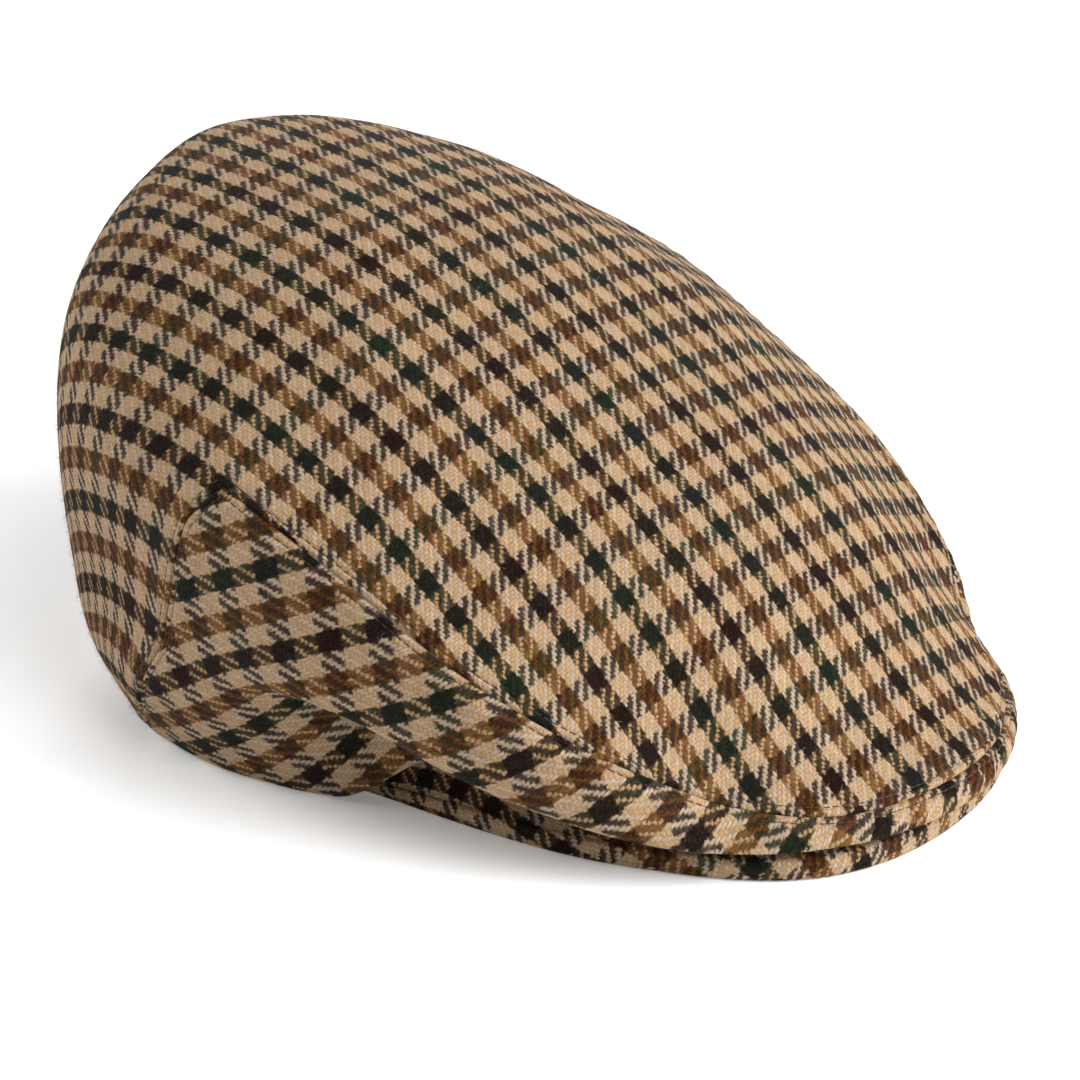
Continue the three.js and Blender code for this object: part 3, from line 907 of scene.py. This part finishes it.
def twill_group():
    """The whole cloth: floats with stray fibres over their edges, heather, flecks, relief and painted hollow
    shade.
    """
    tree, group_in, group_out = new_group(
        "wool_twill",
        [("Threads", "NodeSocketVector")],
        [("Colour", "NodeSocketColor"), ("Height", "NodeSocketFloat")],
    )
    checks = group_in.outputs["Threads"]
    threads = vector(tree, "MULTIPLY", checks, (THREADS_PER_CHECK, THREADS_PER_CHECK, 0))
    place = vector(tree, "ADD", threads, scatter(tree, threads, **SCATTER["uneven threads"]))
    ragged = vector(tree, "ADD", place, scatter(tree, threads, **SCATTER["ragged floats"]))
    strayed = vector(tree, "ADD", ragged, scatter(tree, threads, **SCATTER["stray fibres"]))
    floats = floats_group()
    clean = add(tree, "ShaderNodeGroup", {"Place": place}, node_tree=floats).outputs
    hairy = add(tree, "ShaderNodeGroup", {"Place": strayed}, node_tree=floats).outputs
    milled = vector(tree, "ADD", ragged, scatter(tree, threads, **SCATTER["felted surface"]))
    over = add(tree, "ShaderNodeGroup", {"Place": milled}, node_tree=floats).outputs
    yarn = mixed_colour(tree, FELTED_OVER, hairy["Colour"], over["Colour"])
    lengthwise = vector(tree, "MULTIPLY", threads, (2.6, 0.55, 0))
    crosswise = vector(tree, "MULTIPLY", threads, (0.55, 2.6, 0))
    streaks = mixed_vector(tree, clean["Crosswise"], lengthwise, crosswise)
    fibre = noise(tree, streaks, 1.0, 3.0)["Fac"]
    heather = noise(tree, streaks, 0.31, 2.0)
    fleck = remap(tree, noise(tree, streaks, 1.7, 2.0)["Fac"], 0.52, 0.7, 0.0, FLECK_SHARE)
    flecked = mixed_colour(tree, fleck, yarn, YARNS["fleck"])
    tone_sway = mixed(tree, hairy["Dyed"], TONE_SWAY["undyed"], TONE_SWAY["dyed"])
    tone = calc(tree, "MULTIPLY_ADD", calc(tree, "SUBTRACT", fibre, 0.5), tone_sway, 1.0)
    # painted shade: the yarn is darkened where the float is low, as if shadowed in the hollows of the weave
    painted_cavity_shade = remap(tree, clean["Height"], 0.0, 0.8, 0.74, 1.08)
    cast = add(tree, "ShaderNodeSeparateXYZ", {0: heather["Color"]}).outputs
    hue_sway = mixed(tree, hairy["Dyed"], HUE_SWAY["undyed"], HUE_SWAY["dyed"])
    depth_sway = mixed(tree, hairy["Dyed"], DEPTH_SWAY["undyed"], DEPTH_SWAY["dyed"])
    depth = calc(tree, "MULTIPLY_ADD", calc(tree, "SUBTRACT", cast[1], 0.5), depth_sway, 1.0)
    dyed = add(tree, "ShaderNodeHueSaturation", {
        "Hue": calc(tree, "MULTIPLY_ADD", calc(tree, "SUBTRACT", cast[0], 0.5), hue_sway, 0.5),
        "Saturation": remap(tree, fibre, 0.3, 0.7, 1.2, 0.9),
        "Value": calc(tree, "MULTIPLY", calc(tree, "MULTIPLY", tone, painted_cavity_shade), depth),
        "Color": flecked,
    })
    relief = calc(tree, "ADD", clean["Height"], calc(tree, "MULTIPLY", fibre, 0.7))
    tree.links.new(dyed.outputs["Color"], group_out.inputs["Colour"])
    tree.links.new(relief, group_out.inputs["Height"])
    return tree


TWILL = twill_group()
print("twill group nodes:", len(TWILL.nodes))


# %% Cloth material
def cloth_material(name, bump):
    material = bpy.data.materials.new(name)
    material.use_nodes = True
    tree = material.node_tree
    shader = tree.nodes["Principled BSDF"]
    threads = add(tree, "ShaderNodeAttribute", attribute_name="threads")
    twill = add(tree, "ShaderNodeGroup", node_tree=TWILL)
    tree.links.new(threads.outputs["Vector"], twill.inputs["Threads"])
    tree.links.new(twill.outputs["Colour"], shader.inputs["Base Color"])
    shader.inputs["Roughness"].default_value = 0.92
    shader.inputs["Specular IOR Level"].default_value = 0.06
    shader.inputs["Sheen Weight"].default_value = 0.02
    shader.inputs["Sheen Roughness"].default_value = 0.6
    if bump:
        raised = add(tree, "ShaderNodeBump", {"Height": twill.outputs["Height"], "Distance": bump})
        tree.links.new(raised.outputs["Normal"], shader.inputs["Normal"])
    return material


WOOL = cloth_material("check_wool", 0.00016)
for piece in (top_cloth, side_cloth_right, side_cloth_left, peak_cloth):
    piece.data.materials.append(WOOL)
print("cloth dressed")

# %% [markdown]
# ## Topstitching
# A row of small dark stitches runs on each side of the crown seam and of the rear seams, sunk into
# the groove that it pulls. Geometry Nodes sew them: a curve follows the cloth beside the seam, is
# divided by the stitch pitch, and takes one slim stitch at each division, turned along the curve.

# %% Stitch lines on the cloth
STITCH_LIFT = 0.03


def stitch_lines():
    lines = []
    spots = np.linspace(-APEX_ANGLE, APEX_ANGLE, 700)
    step = 0.01
    for way in (-1, 1):
        seam = crown_point(spots, SEAM_LEVEL)
        speed = np.linalg.norm(crown_point(spots, SEAM_LEVEL + way * step) - seam, axis=1) / step
        tangent = unit(np.gradient(seam, axis=0))
        down = unit(crown_point(spots, SEAM_LEVEL + way * step) - seam)
        square = np.sqrt(1 - (tangent * down).sum(1) ** 2)
        levels = SEAM_LEVEL + way * STITCH_INSET / (speed * square)
        lines.append(cloth_surface(spots, levels))
    levels = np.linspace(SEAM_LEVEL + 0.06, RIM_LEVEL - 0.1, 260)
    for side in (1, -1):
        for way in (1, -1):
            angles = rear_seam_angle(levels)
            seam = crown_point(angles, levels)
            tangent = unit(np.gradient(seam, axis=0))
            round_step = crown_point(angles + step, levels) - seam
            speed = np.linalg.norm(round_step, axis=1) / step
            square = np.sqrt(1 - (tangent * unit(round_step)).sum(1) ** 2)
            beside = side * (angles + way * STITCH_INSET / (speed * square))
            lines.append(cloth_surface(beside, levels))
    return [points + normals * STITCH_LIFT for points, normals, _ in lines]


def curve_object(name, lines):
    curve = bpy.data.curves.new(name, "CURVE")
    curve.dimensions = "3D"
    for line in lines:
        spline = curve.splines.new("POLY")
        spline.points.add(len(line) - 1)
        packed = np.concatenate([line * MM, np.ones((len(line), 1))], 1)
        spline.points.foreach_set("co", packed.ravel())
    holder = bpy.data.objects.new(name, curve)
    bpy.context.scene.collection.objects.link(holder)
    return holder


stitch_path = curve_object("stitch_path", stitch_lines())
print("stitch lines:", len(stitch_path.data.splines))


# %% Stitch nodes
def stitch_group():
    tree, group_in, group_out = new_group(
        "topstitch",
        [
            ("Line", "NodeSocketGeometry"),
            ("Pitch", "NodeSocketFloat"),
            ("Length", "NodeSocketFloat"),
            ("Thickness", "NodeSocketFloat"),
            ("Thread", "NodeSocketMaterial"),
        ],
        [("Stitches", "NodeSocketGeometry")],
        "GeometryNodeTree",
    )
    divided = add(tree, "GeometryNodeResampleCurve", {
        "Curve": group_in.outputs["Line"],
        "Length": group_in.outputs["Pitch"],
    }, mode="LENGTH")
    bead = add(tree, "GeometryNodeMeshUVSphere", {"Segments": 6, "Rings": 5, "Radius": 0.5})
    thickness = group_in.outputs["Thickness"]
    size = add(tree, "ShaderNodeCombineXYZ", {0: group_in.outputs["Length"], 1: thickness, 2: thickness})
    slim = add(tree, "GeometryNodeTransform", {"Geometry": bead.outputs["Mesh"], "Scale": size.outputs[0]})
    tangent = add(tree, "GeometryNodeInputTangent")
    turned = add(tree, "FunctionNodeAlignRotationToVector", {"Vector": tangent.outputs[0]}, axis="X")
    sewn = add(tree, "GeometryNodeInstanceOnPoints", {
        "Points": divided.outputs["Curve"],
        "Instance": slim.outputs["Geometry"],
        "Rotation": turned.outputs["Rotation"],
    })
    real = add(tree, "GeometryNodeRealizeInstances", {"Geometry": sewn.outputs["Instances"]})
    finished = add(tree, "GeometryNodeSetMaterial", {
        "Geometry": real.outputs["Geometry"],
        "Material": group_in.outputs["Thread"],
    })
    tree.links.new(finished.outputs["Geometry"], group_out.inputs["Stitches"])
    return tree


def socket_name(tree, title):
    """The identifier of a group's input, by which a modifier sets it."""
    for item in tree.interface.items_tree:
        if item.in_out == "INPUT" and item.name == title:
            return item.identifier
    raise KeyError(title)


def grown(name, holder, tree, values):
    """Runs a Geometry Nodes tree on an object and keeps the result as a plain mesh."""
    modifier = holder.modifiers.new(tree.name, "NODES")
    modifier.node_group = tree
    for title, value in values.items():
        modifier[socket_name(tree, title)] = value
    bpy.context.view_layer.update()
    ready = holder.evaluated_get(bpy.context.evaluated_depsgraph_get())
    mesh = bpy.data.meshes.new_from_object(ready)
    mesh.name = name
    holder.modifiers.remove(modifier)
    piece = bpy.data.objects.new(name, mesh)
    bpy.context.scene.collection.objects.link(piece)
    print(name, "triangles:", sum(len(p.vertices) - 2 for p in mesh.polygons))
    return piece


TOPSTITCH = stitch_group()
print("nodes that sew the stitches:", len(TOPSTITCH.nodes))


# %% Sewing thread
def thread_material():
    material = bpy.data.materials.new("sewing_thread")
    material.use_nodes = True
    tree = material.node_tree
    shader = tree.nodes["Principled BSDF"]
    place = add(tree, "ShaderNodeTexCoord").outputs["Object"]
    strands = add(tree, "ShaderNodeTexNoise", {"Vector": place, "Scale": 1800.0, "Detail": 2.0})
    ramp = add(tree, "ShaderNodeValToRGB", {"Fac": strands.outputs["Fac"]})
    ramp.color_ramp.elements[0].color = linear(28, 20, 14)
    ramp.color_ramp.elements[1].color = linear(74, 56, 38)
    tree.links.new(ramp.outputs["Color"], shader.inputs["Base Color"])
    twist = add(tree, "ShaderNodeBump", {"Height": strands.outputs["Fac"], "Distance": 0.0001})
    tree.links.new(twist.outputs["Normal"], shader.inputs["Normal"])
    shader.inputs["Roughness"].default_value = 0.7
    return material


stitches = grown("topstitching", stitch_path, TOPSTITCH, {
    "Pitch": 2.5 * MM,
    "Length": 2.2 * MM,
    "Thickness": 0.36 * MM,
    "Thread": thread_material(),
})
bpy.data.objects.remove(stitch_path)

# %% [markdown]
# ## The fuzz of the wool
# Woollen cloth is never bare: fine hairs stand off it and soften its outline. Geometry Nodes scatter
# thin curved ribbons over the outside of each panel with a fixed seed. Each hair keeps the thread
# counts of its root, so it takes the colour of the yarn it grows from.

# %% Fuzz nodes
def fuzz_group():
    tree, group_in, group_out = new_group(
        "wool_fuzz",
        [
            ("Cloth", "NodeSocketGeometry"),
            ("Density", "NodeSocketFloat"),
            ("Length", "NodeSocketFloat"),
            ("Width", "NodeSocketFloat"),
            ("Seed", "NodeSocketInt"),
            ("Wool", "NodeSocketMaterial"),
        ],
        [("Fuzz", "NodeSocketGeometry")],
        "GeometryNodeTree",
    )
    outside = add(tree, "GeometryNodeInputNamedAttribute", {"Name": "outside"}, data_type="FLOAT")
    roots = add(tree, "GeometryNodeDistributePointsOnFaces", {
        "Mesh": group_in.outputs["Cloth"],
        "Selection": outside.outputs["Attribute"],
        "Density": group_in.outputs["Density"],
        "Seed": group_in.outputs["Seed"],
    })
    hair_line = add(tree, "GeometryNodeCurveQuadraticBezier", {
        "Resolution": 2,
        "Start": (0.0, 0.0, -0.04),
        "Middle": (0.42, 0.12, 0.5),
        "End": (1.0, -0.1, 0.22),
    })
    share = calc(tree, "DIVIDE", group_in.outputs["Width"], group_in.outputs["Length"])
    start = add(tree, "ShaderNodeCombineXYZ", {0: calc(tree, "MULTIPLY", share, -0.5)})
    end = add(tree, "ShaderNodeCombineXYZ", {0: calc(tree, "MULTIPLY", share, 0.5)})
    flat = add(tree, "GeometryNodeCurvePrimitiveLine", {"Start": start.outputs[0], "End": end.outputs[0]})
    hair = add(tree, "GeometryNodeCurveToMesh", {
        "Curve": hair_line.outputs["Curve"],
        "Profile Curve": flat.outputs["Curve"],
    })
    lean = add(tree, "FunctionNodeRandomValue", {
        "Min": (-0.5, -0.7, 0.0),
        "Max": (0.5, 0.25, 2 * math.pi),
        "Seed": 3,
    }, data_type="FLOAT_VECTOR")
    spin = add(tree, "FunctionNodeEulerToRotation", {"Euler": lean.outputs["Value"]})
    turned = add(tree, "FunctionNodeRotateRotation", {
        "Rotation": roots.outputs["Rotation"],
        "Rotate By": spin.outputs["Rotation"],
    }, rotation_space="LOCAL")
    spread_size = add(tree, "FunctionNodeRandomValue", {2: 0.45, 3: 1.6, "Seed": 5}, data_type="FLOAT")
    size = calc(tree, "MULTIPLY", spread_size.outputs[1], group_in.outputs["Length"])
    planted = add(tree, "GeometryNodeInstanceOnPoints", {
        "Points": roots.outputs["Points"],
        "Instance": hair.outputs["Mesh"],
        "Rotation": turned.outputs["Rotation"],
        "Scale": size,
    })
    real = add(tree, "GeometryNodeRealizeInstances", {"Geometry": planted.outputs["Instances"]})
    finished = add(tree, "GeometryNodeSetMaterial", {
        "Geometry": real.outputs["Geometry"],
        "Material": group_in.outputs["Wool"],
    })
    tree.links.new(finished.outputs["Geometry"], group_out.inputs["Fuzz"])
    return tree


FUZZ = fuzz_group()
print("nodes that grow the fuzz:", len(FUZZ.nodes))


# %% Growing the fuzz
HAIR_WOOL = cloth_material("wool_hair", 0)
fuzz_of = {}
for seed, cloth in enumerate((top_cloth, side_cloth_right, side_cloth_left, peak_cloth), 11):
    fuzz_of[cloth.name] = grown(cloth.name.replace("cloth", "fuzz"), cloth, FUZZ, {
        "Density": 380000.0,
        "Length": 1.15 * MM,
        "Width": 0.04 * MM,
        "Seed": seed,
        "Wool": HAIR_WOOL,
    })

# %% [markdown]
# ## Putting the pieces on the frame
# Every piece rides on the one body of the cap. The cloth pieces stand for the CAD solids of the same
# panels, which are hidden. The size of cloth each panel was cut from is measured in thread counts.

# %% Frame calls
NODE_OF = {
    "top_cloth": "top_panel",
    "side_cloth_right": "side_panel_right",
    "side_cloth_left": "side_panel_left",
    "peak_cloth": "peak",
}


def flat_cut(piece, across, along):
    """Width, length and area of a panel's flat cloth in metres, from its counts and one check's sides."""
    mesh = piece.data
    counts = np.empty(len(mesh.loops) * 2, np.float32)
    mesh.uv_layers["threads"].uv.foreach_get("vector", counts)
    places = counts.reshape(-1, 2) @ np.array([across, along]) * MM
    size = places.max(0) - places.min(0)
    area = 0
    for face in mesh.polygons[:len(mesh.polygons) // 2]:
        corners = places[face.loop_start:face.loop_start + face.loop_total]
        x, y = corners[:, 0], corners[:, 1]
        area += abs(np.dot(x, np.roll(y, 1)) - np.dot(y, np.roll(x, 1))) / 2
    return float(size[0]), float(size[1]), float(area)


for cloth in (top_cloth, side_cloth_right, side_cloth_left, peak_cloth):
    node = NODE_OF[cloth.name]
    for piece in (cloth, fuzz_of[cloth.name]):
        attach(piece, "root")
    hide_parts(node)
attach(stitches, "root")
CUTS = [
    (top_cloth, "stretched", (CHECK_ACROSS, 0), (0, CHECK_ALONG)),
    (side_cloth_right, "folded", SIDE_ACROSS, -SIDE_ALONG),
    (side_cloth_left, "folded", SIDE_ACROSS, SIDE_ALONG),
]
for cloth, held, across, along in CUTS:
    width, length, area = flat_cut(cloth, across, along)
    print(cloth.name, "flat cut in mm:", round(width / MM), "by", round(length / MM))

# %% [markdown]
# ## Floor, light and camera
# The photograph shows the cap on a white sweep under broad soft light, with a soft shadow close
# under it. Four round soft boxes and a weak sky light the cap. The floor glows faintly, and more so
# far out where the lamps don't reach, so it stays white behind the cap. The camera stands where the
# photograph was taken from, found from the check and the outline.

# %% Floor
FLOOR_REACH = 6.0
FLOOR_DROP = 0.0002
FLOOR_GLOW = 0.18
FLOOR_NEAR = 0.7
FLOOR_FAR = 1.3


def grey(tree, value):
    return add(tree, "ShaderNodeCombineColor", {0: value, 1: value, 2: value}).outputs[0]


def floor_piece():
    mesh = bpy.data.meshes.new("floor")
    signs = [(-1, -1), (1, -1), (1, 1), (-1, 1)]
    corners = [(x * FLOOR_REACH, y * FLOOR_REACH, -FLOOR_DROP) for x, y in signs]
    mesh.from_pydata(corners, [], [(0, 1, 2, 3)])
    floor = bpy.data.objects.new("floor", mesh)
    bpy.context.scene.collection.objects.link(floor)
    material = bpy.data.materials.new("white_sweep")
    material.use_nodes = True
    tree = material.node_tree
    shader = tree.nodes["Principled BSDF"]
    place = add(tree, "ShaderNodeTexCoord").outputs["Object"]
    grain = remap(tree, noise(tree, place, 60.0)["Fac"], 0.3, 0.7, 0.91, 0.93)
    tree.links.new(grey(tree, grain), shader.inputs["Base Color"])
    away = add(tree, "ShaderNodeVectorMath", {0: place}, operation="LENGTH").outputs["Value"]
    glow = remap(tree, away, FLOOR_NEAR, FLOOR_FAR, FLOOR_GLOW, 1.0)
    tree.links.new(grey(tree, glow), shader.inputs["Emission Color"])
    shader.inputs["Roughness"].default_value = 0.9
    shader.inputs["Emission Strength"].default_value = 1.0
    mesh.materials.append(material)
    return floor


floor_piece()
print("floor width in m:", 2 * FLOOR_REACH)


# %% Light
SKY_STRENGTH = 0.05
LAMP_SIZE = 1.2
LAMP_AIM = (0, 0, 0.05)
LAMPS = {
    "key_box": {"place": (-0.39, -1.02, 1.35), "power": 20},
    "right_box": {"place": (0.38, -1.53, 0.69), "power": 39},
    "left_box": {"place": (-0.52, 1.51, 0.63), "power": 22},
    "back_box": {"place": (1.32, 0.89, 0.63), "power": 18},
}


def area_lamp(name, place, power):
    lamp = bpy.data.lights.new(name, "AREA")
    lamp.shape = "DISK"
    lamp.size = LAMP_SIZE
    lamp.energy = power
    holder = bpy.data.objects.new(name, lamp)
    bpy.context.scene.collection.objects.link(holder)
    back = unit(np.array(place, float) - np.array(LAMP_AIM, float))
    side = unit(np.cross([0.0, 0.0, 1.0], back))
    turn = Matrix(np.stack([side, np.cross(back, side), back], 1).tolist()).to_4x4()
    holder.matrix_world = Matrix.Translation(place) @ turn


world = bpy.data.worlds.new("soft_sky")
bpy.context.scene.world = world
world.use_nodes = True
sky = world.node_tree.nodes["Background"]
sky.inputs["Color"].default_value = (1.0, 1.0, 1.0, 1.0)
sky.inputs["Strength"].default_value = SKY_STRENGTH
air = world.node_tree
backdrop = add(air, "ShaderNodeBackground", {"Color": (1.0, 1.0, 1.0, 1.0), "Strength": 1.0})
seen = add(air, "ShaderNodeLightPath").outputs["Is Camera Ray"]
either = add(air, "ShaderNodeMixShader", {0: seen, 1: sky.outputs[0], 2: backdrop.outputs[0]})
air.links.new(either.outputs[0], air.nodes["World Output"].inputs["Surface"])
for name, lamp in LAMPS.items():
    area_lamp(name, lamp["place"], lamp["power"])
bpy.context.scene.view_settings.view_transform = "Standard"
print("lamps:", ", ".join(LAMPS))

# %% Camera
CAMERA_PLACE = (-0.85856, -0.57572, 0.51909)
CAMERA_RIGHT = (0.55949, -0.82883, 0.0)
CAMERA_UP = (0.34406, 0.23225, 0.90977)
CAMERA_BACK = (-0.75405, -0.50901, 0.41511)
camera_data = bpy.data.cameras.new("photo_camera")
camera_data.lens = 140
camera_data.sensor_width = 36
camera_data.clip_start = 0.05
camera = bpy.data.objects.new("photo_camera", camera_data)
bpy.context.scene.collection.objects.link(camera)
axes = Matrix((CAMERA_RIGHT, CAMERA_UP, CAMERA_BACK)).transposed().to_4x4()
camera.matrix_world = Matrix.Translation(CAMERA_PLACE) @ axes
bpy.context.scene.camera = camera
print("camera distance in m:", round(float(np.linalg.norm(CAMERA_PLACE)), 3))
